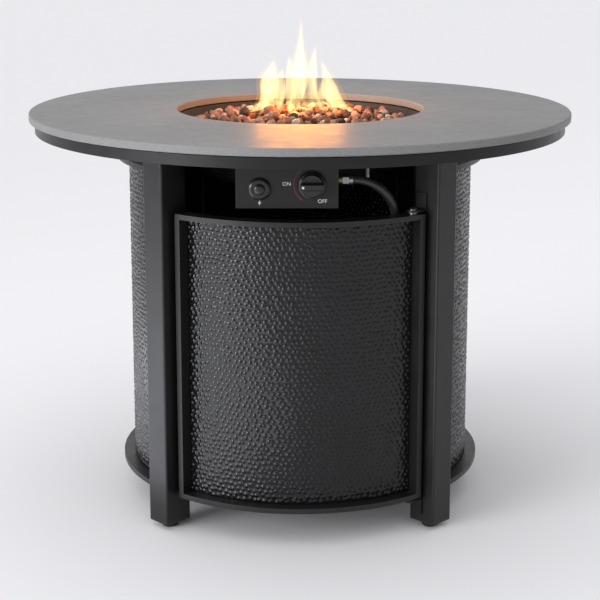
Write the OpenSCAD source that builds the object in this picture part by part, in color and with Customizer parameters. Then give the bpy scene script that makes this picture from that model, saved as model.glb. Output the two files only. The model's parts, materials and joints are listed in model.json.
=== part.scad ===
// Round gas fire pit table: a stone slab on a pressed steel tray, four tube legs,
// curved framed panels with a pivoted front door, a fire bowl with burner and lava
// rocks, a control panel, and the gas hose with its regulator.
// The floor is z = 0 and the door and controls face -Y. Lengths are in millimetres.

/* [Tabletop] */
// Diameter of the stone slab
top_d = 864; // [840:1:900]
// Height of the table top above the floor
table_h = 630; // [615:1:660]
// Thickness of the slab
slab_t = 12; // [10:0.5:16]
// Diameter of the fire opening in the slab
opening_d = 396; // [384:1:406]
// Rounding of the slab's edges
slab_edge_r = 2; // [1:0.25:4]

/* [Tray] */
// Sheet thickness of the tray under the slab
tray_t = 2; // [1.5:0.25:2.5]
// Depth of the tray's outer skirt
skirt_h = 16; // [12:1:24]
// Distance from the slab's edge in to the skirt
skirt_inset = 9; // [6:1:20]
// Height of the shadow gap between slab and skirt
reveal_h = 2; // [1:0.5:4]
// Depth of the shadow gap between slab and skirt
reveal_d = 8; // [5:1:12]
// Drop of the ledge that carries the bowl's lip
ledge_drop = 3; // [3:0.25:5]

/* [Fire bowl and burner] */
// Sheet thickness of the bowl
bowl_t = 2; // [1:0.25:2.5]
// Distance from the slab's opening in to the bowl's wall
bowl_inset = 5; // [3:0.5:8]
// Width of the bowl's lip
bowl_lip = 17; // [15:1:20]
// Depth of the bowl inside
bowl_depth = 92; // [86:1:96]
// Radius of the bowl's floor at its rounded corner
bowl_base_r = 165; // [155:1:170]
// Inside radius of the bowl's corner
bowl_corner_r = 25; // [15:1:30]
// Distance from the bowl's lip down to the burner plate
plate_drop = 26; // [24:1:33]
// Thickness of the burner plate
plate_t = 2; // [1.5:0.25:3]
// Radius of the burner ring's centre line
burner_r = 95; // [90:1:100]
// Radius of the burner's tube
burner_tube_r = 6; // [5:0.25:6.5]
// Gap between burner tube and burner plate
burner_lift = 1.5; // [1:0.25:2]
// Number of gas ports in the burner ring
port_count = 24; // [12:4:32]
// Radius of a gas port
port_r = 1.2; // [0.8:0.1:1.6]
// Radius of the feed pipe
pipe_r = 7; // [6:0.25:8]
// Radius of the bowl's studs
stud_r = 4; // [3:0.25:5]
// Length of the bowl's studs below its lip
stud_len = 70; // [50:1:80]

/* [Lava rocks] */
// Largest radius of a rock in the bed
rock_r = 15; // [12:0.5:15]
// Largest radius of a rock that lies on the burner
ring_rock_r = 9.5; // [9:0.5:11]
// Seed of the rocks' shapes
rock_seed = 7; // [1:1:99]

/* [Legs] */
// Width of a leg along the table's rim
leg_w = 42; // [38:1:46]
// Depth of a leg towards the table's centre
leg_d = 48; // [44:1:54]
// Wall of a leg's tube
leg_wall = 2; // [1.5:0.25:3]
// Rounding of a leg's outer corners
leg_corner_r = 3; // [2.5:0.25:5]
// Radius from the table's centre to a leg's centre
leg_r = 287; // [284:1:292]
// Width of the plate on top of a leg
leg_plate_w = 84; // [78:1:92]
// Depth of the plate on top of a leg
leg_plate_d = 66; // [60:1:70]
// Thickness of the plate on top of a leg
leg_plate_t = 4; // [3:0.5:6]
// Radius of the bolts that hold a leg
leg_bolt_r = 4; // [3:0.5:5]

/* [Feet] */
// Radius of a foot's pad
foot_r = 12.5; // [10:0.5:16]
// Height of a foot's pad
foot_h = 9; // [7:0.5:12]
// Gap between a foot's pad and the end cap above it
foot_gap = 1; // [0.5:0.25:3]
// Radius of a foot's stem
foot_stem_r = 4; // [3:0.25:5]
// Length of a foot's stem
foot_stem_len = 30; // [24:1:40]
// Thickness of an end cap's flange
cap_flange_t = 3; // [2:0.5:4]
// Length of an end cap's plug in the leg
cap_plug_len = 16; // [12:1:20]

/* [Panels] */
// Distance that the panel frames reach past the middle line of the legs
rail_proud = 7; // [4:0.5:10]
// Depth of the frames' rails and stiles
rail_d = 24; // [23:0.5:25]
// Thickness of the rails
rail_t = 8; // [6:0.5:10]
// Width of the stiles
stile_w = 9.5; // [7:0.5:10.5]
// Gap between a frame's outer corner and the leg beside it
end_gap = 7.7; // [7:0.1:9]
// Height of the frames' lower edge above the floor
base_z = 54; // [52:1:66]
// Distance from the table top down to the fixed panels
vent_gap = 66; // [55:1:80]
// Distance from the table top down to the door
access_gap = 130; // [129:1:136]
// Thickness of the frames' inner lip
lip_t = 3.6; // [2:0.2:5]
// Width of the frames' inner lip
lip_w = 10; // [9:0.5:14]
// Thickness of the hammered sheets
sheet_t = 1.2; // [0.8:0.1:2]
// Height of a panel bracket
bracket_h = 30; // [20:1:40]

/* [Door hinge and catch] */
// Distance from the door's end to its hinge axis
hinge_inset = 14; // [13:0.25:15]
// Radius of the hinge pins
pin_r = 3; // [2:0.25:3.5]
// Radius of the hinge pins' heads
pin_head_r = 6; // [5:0.25:8]
// Height of the hinge pins' heads
pin_head_h = 3; // [2:0.25:4]
// Thickness of the hinge washers
washer_t = 2.8; // [2:0.1:4]
// Radius of the hinge washers
washer_r = 6.5; // [5:0.25:8]
// Thickness of the hinge brackets
hinge_t = 3; // [2:0.25:4]
// Distance from the door's upper edge down to the magnet catch
catch_drop = 85; // [30:1:300]
// Height of the magnet
catch_h = 26; // [18:1:40]

/* [Tank bay] */
// Height of the tank tray's sheet above the frames' lower edge
shelf_lift = 4; // [4:0.5:6]
// Sheet thickness of the tank tray
shelf_t = 2; // [1.5:0.25:2]
// Height of the tank tray's rim
shelf_rim_h = 14; // [10:1:18]
// Gap between the tank tray and the legs
shelf_gap = 9; // [7:0.5:12]
// Inner radius of the tank collar
collar_r = 106; // [104:1:112]
// Height of the tank collar
collar_h = 30; // [20:1:34]
// Wall of the tank collar
collar_t = 2; // [1.5:0.25:3]
// Length of a tray bracket under the tank tray
shelf_bracket_len = 46; // [40:1:60]
// Width of a tray bracket
shelf_bracket_w = 30; // [24:1:40]
// Drop of a tray bracket on its leg
shelf_bracket_h = 30; // [20:1:34]
// Thickness of a tray bracket
shelf_bracket_t = 3; // [2:0.25:4]

/* [Controls] */
// Distance from the panel frames' outer face in to the control panel
control_inset = 32; // [28:1:36]
// Left edge of the control panel
control_x0 = -94; // [-100:1:-88]
// Right edge of the control panel
control_x1 = 56; // [52:1:58]
// Height of the control panel
control_h = 101; // [98:1:104]
// Sheet thickness of the control panel
control_t = 2; // [1.5:0.25:2.5]
// Sideways place of the knob
knob_x = 17.5; // [12:0.5:22]
// Distance from the tray down to the knob's axis
knob_drop = 66; // [62:1:70]
// Radius of the knob's skirt
knob_r = 20; // [16:0.5:23]
// Travel of the knob when it is pushed in
knob_travel = 4; // [3:0.25:5]
// Sideways place of the igniter
igniter_x = -59; // [-66:0.5:-52]
// Distance from the tray down to the igniter's axis
igniter_drop = 72; // [66:1:78]
// Radius of the igniter's bezel
igniter_r = 16.5; // [14:0.5:18]
// Radius of the igniter's button
button_r = 8; // [6:0.25:8.5]
// Travel of the igniter's button
button_travel = 5; // [3:0.5:6]

/* [Gas line] */
// Outer radius of the gas hose
hose_r = 6.5; // [5.5:0.25:7]
// Radius of the hose's bend below the valve
hose_bend = 64; // [54:1:64]
// Radius of the hose's bend above the tank tray
hose_low_bend = 68; // [56:1:74]
// Radius of the coupling nut
nut_r = 18; // [17:0.25:18.5]
// Radius of the regulator's seam
regulator_r = 32; // [28:0.5:33]
// Height of the regulator
regulator_h = 36; // [32:1:40]
// Gap between the regulator and the tank tray's rim
regulator_gap = 12; // [8:1:20]
// Length of the coupling nut
nut_len = 32; // [28:1:36]

/* [Hidden] */
$fn = 96;
// Running clearance of pins and shafts, and clearance of loose fits
run_gap = 0.05;
fit_gap = 0.3;

// Levels of the tabletop
tray_z = table_h - slab_t;
tray_under = tray_z - tray_t;
skirt_r = top_d / 2 - skirt_inset;
skirt_top = tray_z - reveal_h;
ledge_z = tray_z - ledge_drop;

// Bowl: its wall runs straight from the rim to the rounded corner
bowl_rim_r = opening_d / 2 - bowl_inset;
bowl_top = ledge_z + bowl_t;
bowl_floor = bowl_top - bowl_depth;
bowl_lip_r = bowl_rim_r + bowl_lip;
bowl_taper = 20;
corner_top = bowl_corner_point(0, -bowl_taper);
ledge_wall_r = bowl_lip_r + 2;
ledge_hole_r = bowl_rim_r + bowl_t + 1;
stud_ring_r = (ledge_hole_r + bowl_lip_r) / 2 + 1;
stud_angles = [30, 150, 270];
stud_nut_h = 6;

// Burner
plate_z = bowl_top - plate_drop;
burner_z = plate_z + burner_lift + burner_tube_r;
riser_y = -sqrt(pow(burner_r, 2) - pow(knob_x, 2));
electrode_r = 3;
electrode_room = 9;
electrode_ring = burner_r + ring_rock_r + electrode_room / 2;
electrode_angle = 20;

// Legs and feet
leg_angles = [45, 135, -135, -45];
cap_z = foot_h + foot_gap;
leg_z = cap_z + cap_flange_t;
leg_top = tray_under - leg_plate_t;
leg_inner = leg_r - leg_d / 2;
leg_bolt_x = (leg_plate_w + leg_w) / 4;
bolt_nut_h = 6;

// Panels: the frame ends stop short of the legs' side faces
rail_r = leg_r + rail_proud;
rail_in_r = rail_r - rail_d;
panel_top = table_h - vent_gap;
door_top = table_h - access_gap;
half_span = 45 - asin((leg_w / 2 + end_gap) / rail_r);
stile_angle = asin(stile_w / rail_r);
lip_angle = asin(lip_w / rail_in_r);
sheet_in_r = rail_in_r + lip_t + fit_gap / 2;
panel_angles = [-90, 90, 180];

// Door hinge
hinge_r = rail_r - rail_d / 2;
hinge_angle = half_span - asin(hinge_inset / hinge_r);
hinge_top_z = door_top + washer_t + 2 * run_gap;
hinge_low_z = base_z - washer_t - 2 * run_gap;
hinge_flange_h = 27;
catch_angle = -(half_span - stile_angle / 2 - lip_angle / 2);
catch_z = door_top - catch_drop;
strike_t = 3.5;
strike_half_w = 8;
strike_seat = sqrt(pow(rail_in_r, 2) - pow(strike_half_w, 2));

// Tank bay
shelf_z = base_z + shelf_lift;
shelf_top = shelf_z + shelf_t;
shelf_r = leg_inner - shelf_gap;

// Controls: the valve sits behind the panel on the knob's axis, and the panel keeps
// room for the bowl's ledge behind its flange and for the bowl behind valve and mixer
knob_z = tray_under - knob_drop;
igniter_z = tray_under - igniter_drop;
neck_len = 10;
valve_len = 35;
valve_w = 28;
outlet_len = 10;
mixer_len = 25;
mixer_gap = 8;
control_flange = 34;
behind_ledge = ledge_wall_r + tray_t + control_flange + fit_gap;
behind_bowl = bowl_r_at(knob_z) + bowl_t + mixer_gap
    + mixer_len + outlet_len + valve_len + neck_len + control_t;
control_y = max(rail_r - control_inset, behind_ledge, behind_bowl);
control_back = -control_y + control_t;
valve_y = control_back + neck_len;
outlet_y = valve_y + valve_len;
mixer_y = outlet_y + outlet_len;
pipe_y = mixer_y + mixer_len;
plunger_r = 6;
stem_r = 4;
stem_back = valve_y + 6;
knob_back = -control_y - knob_travel - 0.5;
knob_front = knob_back - 21.5;
housing_r = 10.9;
housing_len = 76;
battery_r = 7.2;
battery_front = control_back + 22;
battery_back = -control_y + housing_len - 2;

// Gas line: the hose leaves the valve to the right, bends down behind the door and
// comes along the tank tray to the regulator
hose_start_x = 78;
inlet_y = valve_y + 15;
inlet_z = knob_z + 3;
inlet_end_x = hose_start_x - 16;
hose_nut_len = 10;
regulator_xy = pol(shelf_r - shelf_t - regulator_gap - regulator_r, -20.3);
regulator_outlet = regulator_r + 24;
regulator_angle = -115.5;
nut_z = shelf_top + nut_r + fit_gap;
nut_start = regulator_r + 8;
ferrule_len = 18;
hose_drop_x = hose_start_x + hose_bend;
hose_low_x = hose_drop_x + 6;
hose_behind = 19;
hose_run_y = -sqrt(pow(rail_in_r - hose_behind, 2) - pow(hose_low_x, 2));
hose_drop_z = inlet_z - hose_bend;
hose_low_z = shelf_top + hose_r + 3.5;
hose_swing = 13;

// A point at a radius and an angle from the front, turning towards +X
function pol(r, a) = [r * sin(a), -r * cos(a)];

// The angle at which a leg's side face crosses a radius, seen from the panel's middle
function leg_side_angle(r) = 45 - asin(leg_w / 2 / r);

// A point of the bowl's corner, grown outwards by g
function bowl_corner_point(g, a) = [
    bowl_base_r - bowl_corner_r + (bowl_corner_r + g) * cos(a),
    bowl_floor + bowl_corner_r + (bowl_corner_r + g) * sin(a)
];

// The bowl's line from rim to middle, grown outwards by g
function bowl_line(g) = concat(
    [[bowl_rim_r + g, bowl_top]],
    [for (i = [0:5]) bowl_corner_point(g, -bowl_taper - i * (90 - bowl_taper) / 5)],
    [[0, bowl_floor - g]]
);
function reversed(list) = [for (i = [len(list) - 1:-1:0]) list[i]];

// The bowl's inner radius at a height on its straight wall
function bowl_r_at(z) =
    corner_top[0] + (bowl_rim_r - corner_top[0]) * (z - corner_top[1]) / (bowl_top - corner_top[1]);

// A share that starts and stops gently on its way from 0 to 1
function ease(t) = let (u = min(1, max(0, t))) u * u * (3 - 2 * u);

// Placing helpers
module at(a) { rotate([0, 0, a]) children(); }
module along_y(x, y0, y1, z, r) { translate([x, y0, z]) rotate([-90, 0, 0]) cylinder(h = y1 - y0, r = r); }
module along_x(x0, x1, y, z, r) { translate([x0, y, z]) rotate([0, 90, 0]) cylinder(h = x1 - x0, r = r); }
module ring(r0, r1, z0, z1) {
    rotate_extrude() translate([r0, z0]) square([r1 - r0, z1 - z0]);
}
module arc_bar(r0, r1, z0, z1, half) {
    rotate([0, 0, -90 - half])
        rotate_extrude(angle = 2 * half)
            translate([r0, z0]) square([r1 - r0, z1 - z0]);
}
module rounded_rect(w, d, r) {
    square([w - 2 * r, d], center = true);
    square([w, d - 2 * r], center = true);
    for (sx = [-1, 1], sy = [-1, 1])
        translate([sx * (w / 2 - r), sy * (d / 2 - r)]) circle(r);
}
module hex(r, h) { cylinder(h = h, r = r, $fn = 6); }

// A turned shape whose axis runs to the front, from points (radius, distance to the front)
module turned_front(x, y, z, outline) {
    translate([x, y, z]) rotate([90, 0, 0]) rotate_extrude() polygon(outline);
}

// Tabletop
module tabletop_slab() {
    width = top_d / 2 - opening_d / 2;
    color("#9b9b9b") rotate_extrude()
        translate([opening_d / 2 + width / 2, tray_z + slab_t / 2])
            rounded_rect(width, slab_t, slab_edge_r);
}

module tabletop_tray() {
    step_r = skirt_r - reveal_d;
    color("#4c4d50") difference() {
        rotate_extrude() {
            translate([ledge_wall_r, tray_under]) square([step_r - ledge_wall_r, tray_t]);
            translate([step_r - tray_t, skirt_top - tray_t]) square([tray_t, tray_z - skirt_top + tray_t]);
            translate([step_r - tray_t, skirt_top - tray_t]) square([skirt_r - step_r + tray_t, tray_t]);
            translate([skirt_r - tray_t, skirt_top - skirt_h]) square([tray_t, skirt_h]);
            translate([ledge_wall_r, ledge_z - tray_t]) square([tray_t, tray_z - ledge_z + tray_t]);
            translate([ledge_hole_r, ledge_z - tray_t])
                square([ledge_wall_r - ledge_hole_r + tray_t, tray_t]);
        }
        for (a = stud_angles) at(a)
            translate([0, -stud_ring_r, ledge_z - tray_t - 1]) cylinder(h = tray_t + 2, r = stud_r + fit_gap);
    }
}

// Fire bowl and burner
module fire_bowl() {
    color("#2c2a29") difference() {
        rotate_extrude() {
            polygon(concat(bowl_line(0), reversed(bowl_line(bowl_t))));
            translate([bowl_rim_r, bowl_top - bowl_t]) square([bowl_lip, bowl_t]);
        }
        along_y(knob_x, pipe_y, 0, knob_z, pipe_r + fit_gap);
    }
}

module bowl_studs() {
    color("#b9b9b6") for (a = stud_angles) at(a) translate([0, -stud_ring_r, ledge_z - stud_len]) {
        cylinder(h = stud_len, r = stud_r);
        sphere(stud_r);
    }
}

module bowl_stud_nuts() {
    color("#c4c4c0") for (a = stud_angles) at(a)
        translate([0, -stud_ring_r, ledge_z - tray_t - stud_nut_h]) difference() {
            hex(1.9 * stud_r, stud_nut_h);
            translate([0, 0, -1]) cylinder(h = stud_nut_h + 2, r = stud_r + run_gap);
        }
}

module burner_plate() {
    r = bowl_r_at(plate_z - plate_t) - fit_gap;
    color("#343230") difference() {
        translate([0, 0, plate_z - plate_t]) cylinder(h = plate_t, r = r);
        translate([knob_x, riser_y, plate_z - plate_t - 1]) cylinder(h = plate_t + 2, r = pipe_r + fit_gap);
        at(electrode_angle) translate([0, -electrode_ring, plate_z - plate_t - 1])
            cylinder(h = plate_t + 2, r = electrode_r + fit_gap);
        for (i = [0:11]) at(electrode_angle + 15 + 30 * i)
            translate([0, -electrode_ring, plate_z - plate_t - 1]) cylinder(h = plate_t + 2, r = 3.5);
    }
}

module burner_ring() {
    color("#6d6a66") translate([0, 0, burner_z]) difference() {
        rotate_extrude() translate([burner_r, 0]) circle(burner_tube_r);
        for (i = [0:port_count - 1]) at((i + 0.5) * 360 / port_count)
            translate([0, -burner_r, 0]) cylinder(h = burner_tube_r + 1, r = port_r);
    }
}

module burner_stands() {
    color("#6d6a66") for (a = [0, 90, 180, 270]) at(a + 45) translate([0, -burner_r, plate_z])
        difference() {
            translate([-6, -9, 0]) cube([12, 18, burner_tube_r]);
            translate([0, 0, burner_z - plate_z]) rotate([0, 90, 0])
                cylinder(h = 20, r = burner_tube_r + fit_gap, center = true);
        }
}

module feed_pipe() {
    color("#8d8a84") {
        along_y(knob_x, pipe_y, riser_y, knob_z, pipe_r);
        translate([knob_x, riser_y, knob_z]) {
            sphere(pipe_r);
            cylinder(h = burner_z - burner_tube_r - knob_z - run_gap, r = pipe_r);
        }
    }
}

module gas_mixer() {
    mixer_r = 1.55 * pipe_r;
    color("#b08d4a") difference() {
        along_y(knob_x, mixer_y, pipe_y, knob_z, mixer_r);
        along_y(knob_x, mixer_y + 6, pipe_y - 5, knob_z, pipe_r);
        for (a = [0, 90]) translate([knob_x, (mixer_y + pipe_y) / 2, knob_z]) rotate([0, a, 0])
            cylinder(h = 3 * mixer_r, r = 4.5, center = true);
    }
}

module spark_electrode() {
    color("#e8e4da") at(electrode_angle) translate([0, -electrode_ring, 0]) {
        translate([0, 0, plate_z - plate_t - 6]) cylinder(h = 34, r = electrode_r);
        translate([0, 0, plate_z - plate_t - 6]) cylinder(h = 6, r = electrode_r + 2);
        translate([0, 0, plate_z - plate_t + 28]) cylinder(h = 5, r = 1.2);
    }
}

// Lava rocks: uneven stones laid ring by ring, one ring on top of the burner
gold = (1 + sqrt(5)) / 2;
stone_points = [
    [-1, gold, 0], [1, gold, 0], [-1, -gold, 0], [1, -gold, 0], [0, -1, gold], [0, 1, gold],
    [0, -1, -gold], [0, 1, -gold], [gold, 0, -1], [gold, 0, 1], [-gold, 0, -1], [-gold, 0, 1]
] / norm([1, gold]);
stone_faces = [
    [0, 5, 11], [0, 1, 5], [0, 7, 1], [0, 10, 7], [0, 11, 10], [1, 9, 5], [5, 4, 11], [11, 2, 10],
    [10, 6, 7], [7, 8, 1], [3, 4, 9], [3, 2, 4], [3, 6, 2], [3, 8, 6], [3, 9, 8], [4, 5, 9],
    [2, 11, 4], [6, 10, 2], [8, 7, 6], [9, 1, 8]
];

module stone(r, seed) {
    swell = rands(0.72, 1, len(stone_points), seed);
    turn = rands(0, 360, 3, seed + 0.5);
    points = [for (i = [0:len(stone_points) - 1]) r * swell[i] * turned(stone_points[i], turn)];
    low = min([for (p = points) p[2]]);
    translate([0, 0, -low]) polyhedron(points = points, faces = stone_faces);
}

// A point turned about Z, then X, then Z
function spin(p, a) = [p[0] * cos(a) - p[1] * sin(a), p[0] * sin(a) + p[1] * cos(a), p[2]];
function tip(p, a) = [p[0], p[1] * cos(a) - p[2] * sin(a), p[1] * sin(a) + p[2] * cos(a)];
function turned(p, t) = spin(tip(spin(p, t[0]), t[1]), t[2]);

module stone_ring(ring_r, r, z, seed) {
    count = ring_r < r ? 1 : floor(180 / asin(min(1, r / ring_r)));
    for (i = [0:count - 1]) at(360 * i / count + 17 * seed) translate([0, -ring_r, z])
        stone(r, 100 * seed + i);
}

module lava_rocks() {
    inside = burner_r - ring_rock_r - rock_r - 1;
    bed_start = burner_r + ring_rock_r + electrode_room + rock_r;
    bed_room = bowl_r_at(plate_z) - rock_r - 1 - bed_start;
    color("#8a5a47") {
        for (i = [0:floor(inside / (2 * rock_r))])
            stone_ring(2 * rock_r * i, rock_r - fit_gap, plate_z, rock_seed + i);
        stone_ring(burner_r, ring_rock_r - fit_gap, burner_z + burner_tube_r, rock_seed + 4);
        for (i = [0:floor(bed_room / (2 * rock_r))])
            stone_ring(bed_start + 2 * rock_r * i, rock_r - fit_gap, plate_z, rock_seed + 5 + i);
    }
}

// Legs and feet
module leg(angle) {
    color("#3d3f43") at(angle) translate([0, -leg_r, 0]) {
        translate([0, 0, leg_z]) linear_extrude(leg_top - leg_z) difference() {
            rounded_rect(leg_w, leg_d, leg_corner_r);
            square([leg_w - 2 * leg_wall, leg_d - 2 * leg_wall], center = true);
        }
        translate([0, 0, leg_top]) difference() {
            linear_extrude(leg_plate_t) rounded_rect(leg_plate_w, leg_plate_d, leg_corner_r);
            for (side = [-1, 1]) translate([side * leg_bolt_x, 0, -1])
                cylinder(h = leg_plate_t + 2, r = leg_bolt_r + fit_gap);
        }
    }
}
module leg_front_right() { leg(leg_angles[0]); }
module leg_rear_right() { leg(leg_angles[1]); }
module leg_rear_left() { leg(leg_angles[2]); }
module leg_front_left() { leg(leg_angles[3]); }

module leg_bolts() {
    color("#b9b9b6") for (a = leg_angles, side = [-1, 1]) at(a) translate([side * leg_bolt_x, -leg_r, 0]) {
        translate([0, 0, leg_top - bolt_nut_h - 2])
            cylinder(h = leg_plate_t + bolt_nut_h + 2, r = leg_bolt_r);
        translate([0, 0, leg_top - bolt_nut_h]) hex(1.8 * leg_bolt_r, bolt_nut_h);
    }
}

module leg_end_caps() {
    inner_w = leg_w - 2 * leg_wall - fit_gap;
    inner_d = leg_d - 2 * leg_wall - fit_gap;
    color("#1c1c1d") for (a = leg_angles) at(a) translate([0, -leg_r, cap_z]) difference() {
        union() {
            linear_extrude(cap_flange_t) rounded_rect(leg_w, leg_d, leg_corner_r);
            translate([-inner_w / 2, -inner_d / 2, 0]) cube([inner_w, inner_d, cap_flange_t + cap_plug_len]);
        }
        translate([0, 0, -1]) cylinder(h = cap_flange_t + cap_plug_len + 2, r = foot_stem_r + run_gap);
    }
}

module foot(angle) {
    color("#242425") at(angle) translate([0, -leg_r, 0]) {
        rotate_extrude() polygon([
            [0, 0], [foot_r - 1, 0], [foot_r, 1], [foot_r, 0.55 * foot_h], [0.6 * foot_r, foot_h], [0, foot_h]
        ]);
        cylinder(h = foot_h + foot_stem_len, r = foot_stem_r);
    }
}
module foot_front_right() { foot(leg_angles[0]); }
module foot_rear_right() { foot(leg_angles[1]); }
module foot_rear_left() { foot(leg_angles[2]); }
module foot_front_left() { foot(leg_angles[3]); }

// Panels: a curved frame with a rebate on a lip behind, and a thin sheet in it
module curved_frame(top) {
    window = half_span - stile_angle;
    difference() {
        arc_bar(rail_in_r, rail_r, base_z, top, half_span);
        arc_bar(rail_in_r + lip_t, rail_r + 1, base_z + rail_t, top - rail_t, window);
        arc_bar(rail_in_r - 1, rail_in_r + lip_t + 1, base_z + rail_t + lip_w, top - rail_t - lip_w,
                window - lip_angle);
    }
}
module curved_sheet(top) {
    arc_bar(sheet_in_r, sheet_in_r + sheet_t, base_z + rail_t + fit_gap, top - rail_t - fit_gap,
            half_span - stile_angle - asin(fit_gap / rail_in_r));
}
module panel_frame(angle) { color("#3d3f43") at(angle) curved_frame(panel_top); }
module panel_sheet(angle) { color("#6a6a6e") at(angle) curved_sheet(panel_top); }
module left_panel_frame() { panel_frame(panel_angles[0]); }
module left_panel_sheet() { panel_sheet(panel_angles[0]); }
module right_panel_frame() { panel_frame(panel_angles[1]); }
module right_panel_sheet() { panel_sheet(panel_angles[1]); }
module rear_panel_frame() { panel_frame(panel_angles[2]); }
module rear_panel_sheet() { panel_sheet(panel_angles[2]); }

// Wedge brackets that fill the gap between a frame's end and the leg beside it
module panel_brackets() {
    inner = rail_in_r + 4;
    outer = rail_r - 4;
    color("#2f3033") for (a = panel_angles, side = [0, 1], z = [base_z + 60, panel_top - 60 - bracket_h])
        at(a) mirror([side, 0, 0]) translate([0, 0, z]) linear_extrude(bracket_h) polygon([
            pol(inner, half_span), pol(outer, half_span),
            pol(outer, leg_side_angle(outer)), pol(inner, leg_side_angle(inner))
        ]);
}

// Door, its pivot hinge and its catch
module at_hinge(z) {
    p = pol(hinge_r, hinge_angle);
    translate([p[0], p[1], z]) children();
}

module door_frame() {
    color("#3d3f43") difference() {
        curved_frame(door_top);
        for (z = [base_z - 1, door_top - rail_t - 1]) at_hinge(z)
            cylinder(h = rail_t + 2, r = pin_r + run_gap);
    }
}
module door_sheet() { color("#6a6a6e") curved_sheet(door_top); }
module door_strike() {
    color("#a5a5a2") at(catch_angle) translate([-strike_half_w, -strike_seat, catch_z - catch_h / 2])
        cube([2 * strike_half_w, strike_t, catch_h]);
}

// A bracket on the leg's side face with an ear over or under the door's end
module hinge_bracket(ear_z, flange_z) {
    p = pol(hinge_r, hinge_angle - leg_angles[0]);
    half_w = 10;
    color("#3d3f43") at(leg_angles[0]) difference() {
        union() {
            translate([p[0], p[1] - half_w, ear_z]) cube([-leg_w / 2 - p[0], 2 * half_w, hinge_t]);
            translate([p[0], p[1], ear_z]) cylinder(h = hinge_t, r = half_w);
            translate([-leg_w / 2 - hinge_t, p[1] - half_w, flange_z])
                cube([hinge_t, 2 * half_w, hinge_flange_h]);
        }
        translate([p[0], p[1], ear_z - 1]) cylinder(h = hinge_t + 2, r = pin_r + run_gap);
    }
}
module upper_hinge_bracket() { hinge_bracket(hinge_top_z, hinge_top_z); }
module lower_hinge_bracket() {
    hinge_bracket(hinge_low_z - hinge_t, hinge_low_z - hinge_flange_h);
}

module hinge_pin(top) {
    low = top ? door_top - rail_t : hinge_low_z - hinge_t;
    high = top ? hinge_top_z + hinge_t : base_z + rail_t;
    at_hinge(low) cylinder(h = high - low, r = pin_r);
    at_hinge(top ? high : low) mirror([0, 0, top ? 0 : 1]) rotate_extrude() polygon([
        [0, 0], [pin_head_r, 0], [pin_head_r, 0.4 * pin_head_h], [0.8 * pin_head_r, 0.8 * pin_head_h],
        [0.45 * pin_head_r, pin_head_h], [0, pin_head_h]
    ]);
}
module hinge_pins() { color("#c9c9c6") for (top = [true, false]) hinge_pin(top); }

module hinge_washers() {
    color("#d2d2cf") for (z = [door_top + run_gap, hinge_low_z + run_gap]) at_hinge(z) difference() {
        cylinder(h = washer_t, r = washer_r);
        translate([0, 0, -1]) cylinder(h = washer_t + 2, r = pin_r + run_gap);
    }
}

module magnet_catch() {
    face = strike_seat - strike_t - fit_gap;
    magnet_w = 2 * strike_half_w + 2;
    color("#2a2a2b") translate([0, 0, catch_z - catch_h / 2]) {
        at(catch_angle) translate([-magnet_w / 2, -face, 0]) cube([magnet_w, 14, catch_h]);
        at(leg_angles[3]) translate([0, -leg_inner, 0]) cube([leg_w / 2 + end_gap, 6, catch_h]);
    }
}

// Tank bay
module tank_tray() {
    color("#35363a") {
        translate([0, 0, shelf_z]) cylinder(h = shelf_t, r = shelf_r);
        ring(shelf_r - shelf_t, shelf_r, shelf_z, shelf_z + shelf_rim_h);
    }
}
module tank_tray_brackets() {
    color("#35363a") for (a = leg_angles) at(a) translate([-shelf_bracket_w / 2, -leg_inner, shelf_z]) {
        translate([0, 0, -shelf_bracket_t]) cube([shelf_bracket_w, shelf_bracket_len, shelf_bracket_t]);
        translate([0, 0, -shelf_bracket_h]) cube([shelf_bracket_w, shelf_bracket_t, shelf_bracket_h]);
    }
}
module tank_collar() {
    color("#35363a") ring(collar_r, collar_r + collar_t, shelf_top, shelf_top + collar_h);
}

// Control panel: a face with a top flange and tapering side returns
module control_panel() {
    low = tray_under - control_h;
    color("#313236") difference() {
        union() {
            translate([control_x0, -control_y, low]) cube([control_x1 - control_x0, control_t, control_h]);
            translate([control_x0, -control_y, tray_under - control_t])
                cube([control_x1 - control_x0, control_flange, control_t]);
            for (x = [control_x0, control_x1 - control_t]) translate([x, 0, 0]) rotate([90, 0, 90])
                linear_extrude(control_t) polygon([
                    [-control_y, low], [control_back, low],
                    [-control_y + control_flange, tray_under], [-control_y, tray_under]
                ]);
        }
        along_y(knob_x, -control_y - 1, control_back + 1, knob_z, stem_r + 2);
        along_y(igniter_x, -control_y - 1, control_back + 1, igniter_z, housing_r + 0.1);
    }
}

module gas_valve() {
    color("#a8843f") difference() {
        union() {
            along_y(knob_x, control_back, valve_y, knob_z, plunger_r + 4);
            translate([knob_x - valve_w / 2, valve_y, knob_z - valve_w / 2])
                cube([valve_w, valve_len, valve_w]);
            along_y(knob_x, outlet_y, mixer_y, knob_z, pipe_r + 1);
            along_x(knob_x, inlet_end_x, inlet_y, inlet_z, hose_r + 0.5);
        }
        along_y(knob_x, control_back - 1, stem_back + knob_travel + 2, knob_z, plunger_r + run_gap);
    }
}
module valve_plunger() {
    color("#8f8f8c") difference() {
        along_y(knob_x, control_back + 1, stem_back, knob_z, plunger_r);
        along_y(knob_x, control_back, stem_back + 1, knob_z, stem_r + run_gap);
    }
}
module valve_stem() {
    color("#b9b9b6") along_y(knob_x, knob_front + 5, stem_back, knob_z, stem_r);
}

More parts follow.
